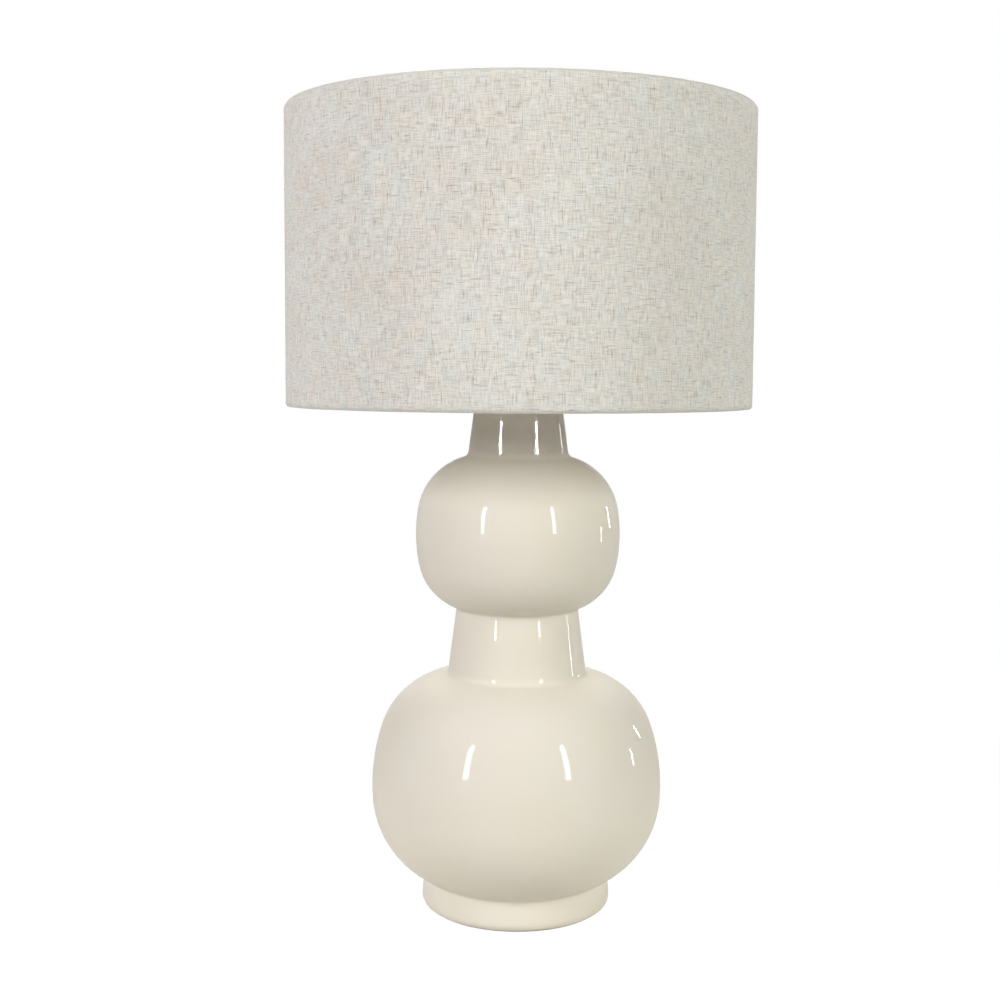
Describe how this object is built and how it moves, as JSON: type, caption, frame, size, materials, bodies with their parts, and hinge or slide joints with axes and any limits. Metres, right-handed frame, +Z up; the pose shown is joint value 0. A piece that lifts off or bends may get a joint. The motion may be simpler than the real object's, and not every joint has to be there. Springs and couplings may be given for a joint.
{
  "type": "table lamp",
  "caption": "Table lamp with a double gourd glazed ceramic body, a linen drum shade on a harp and a turn-knob lampholder.",
  "frame": {"origin": "middle of the underside that rests on the table", "axes": "+Z up, -Y towards the front, where the switch knob points; the cord outlet is at +Y"},
  "size_m": [0.4, 0.4, 0.7024],
  "materials": {
    "glazed_stoneware": "glossy ivory glaze",
    "slub_linen": "plain weave with slubs",
    "styrene_liner": "smooth white sheet",
    "ring_enamel": "white enamel",
    "satin_brass": "satin",
    "plated_steel": "zinc plated",
    "black_phenolic": "moulded",
    "fibre_paper": "pressed",
    "grey_felt": "pressed wool felt",
    "ivory_plastic": "moulded",
    "opal_glass": "inside coated, opal",
    "clear_insulator": "black glass",
    "cap_aluminium": "drawn",
    "tin_solder": "soldered"
  },
  "bodies": {
    "lamp": {"ceramic_body": "glazed_stoneware", "felt_pad": "grey_felt", "cord_bushing": "ivory_plastic", "threaded_rod": "plated_steel", "base_washer": "plated_steel", "base_lock_washer": "plated_steel", "base_nut": "plated_steel", "vase_cap": "satin_brass", "neck_nut": "satin_brass", "harp_saddle": "satin_brass", "holder_cap": "satin_brass", "holder_set_screw": "plated_steel", "holder_shell": "satin_brass", "holder_sleeve": "fibre_paper", "switch_core": "black_phenolic", "terminal_screws": "satin_brass", "screw_shell": "satin_brass", "centre_contact": "satin_brass"},
    "switch": {"switch_shaft": "satin_brass", "switch_cam": "black_phenolic", "switch_knob": "black_phenolic"},
    "bulb": {"bulb_glass": "opal_glass", "bulb_cap": "cap_aluminium", "bulb_insulator": "clear_insulator", "bulb_tip": "tin_solder"},
    "harp": {"harp_bow": "satin_brass"},
    "left_ferrule": {"ferrule_left": "satin_brass"},
    "right_ferrule": {"ferrule_right": "satin_brass"},
    "swivel": {"harp_swivel": "satin_brass"},
    "shade": {"shade_linen": "slub_linen", "shade_liner": "styrene_liner", "shade_top_ring": "ring_enamel", "shade_bottom_ring": "ring_enamel", "spider_hub": "satin_brass", "spider_arms": "satin_brass"},
    "finial": {"finial": "satin_brass"}
  },
  "joints": [
    {"name": "switch_turn", "type": "hinge", "parent": "lamp", "child": "switch", "pos_m": [0, 0, 0.47447], "axis": [0, -1, 0], "continuous": true},
    {"name": "bulb_turn", "type": "hinge", "parent": "lamp", "child": "bulb", "pos_m": [0, 0, 0.5], "axis": [0, 0, 1], "range_deg": [0, 1260]},
    {"name": "harp_lift", "type": "slide", "parent": "lamp", "child": "harp", "axis": [0, 0, 1], "range_m": [0, 0.025]},
    {"name": "left_ferrule_slide", "type": "slide", "parent": "harp", "child": "left_ferrule", "axis": [0, 0, 1], "range_m": [0, 0.016]},
    {"name": "right_ferrule_slide", "type": "slide", "parent": "harp", "child": "right_ferrule", "axis": [0, 0, 1], "range_m": [0, 0.016]},
    {"name": "shade_turn", "type": "hinge", "parent": "harp", "child": "swivel", "pos_m": [0, 0, 0.67], "axis": [0, 0, 1], "continuous": true},
    {"name": "shade_lift", "type": "slide", "parent": "swivel", "child": "shade", "axis": [0, 0, 1], "range_m": [0, 0.016]},
    {"name": "finial_turn", "type": "hinge", "parent": "shade", "child": "finial", "pos_m": [0, 0, 0.69], "axis": [0, 0, 1], "range_deg": [0, 4320]}
  ]
}
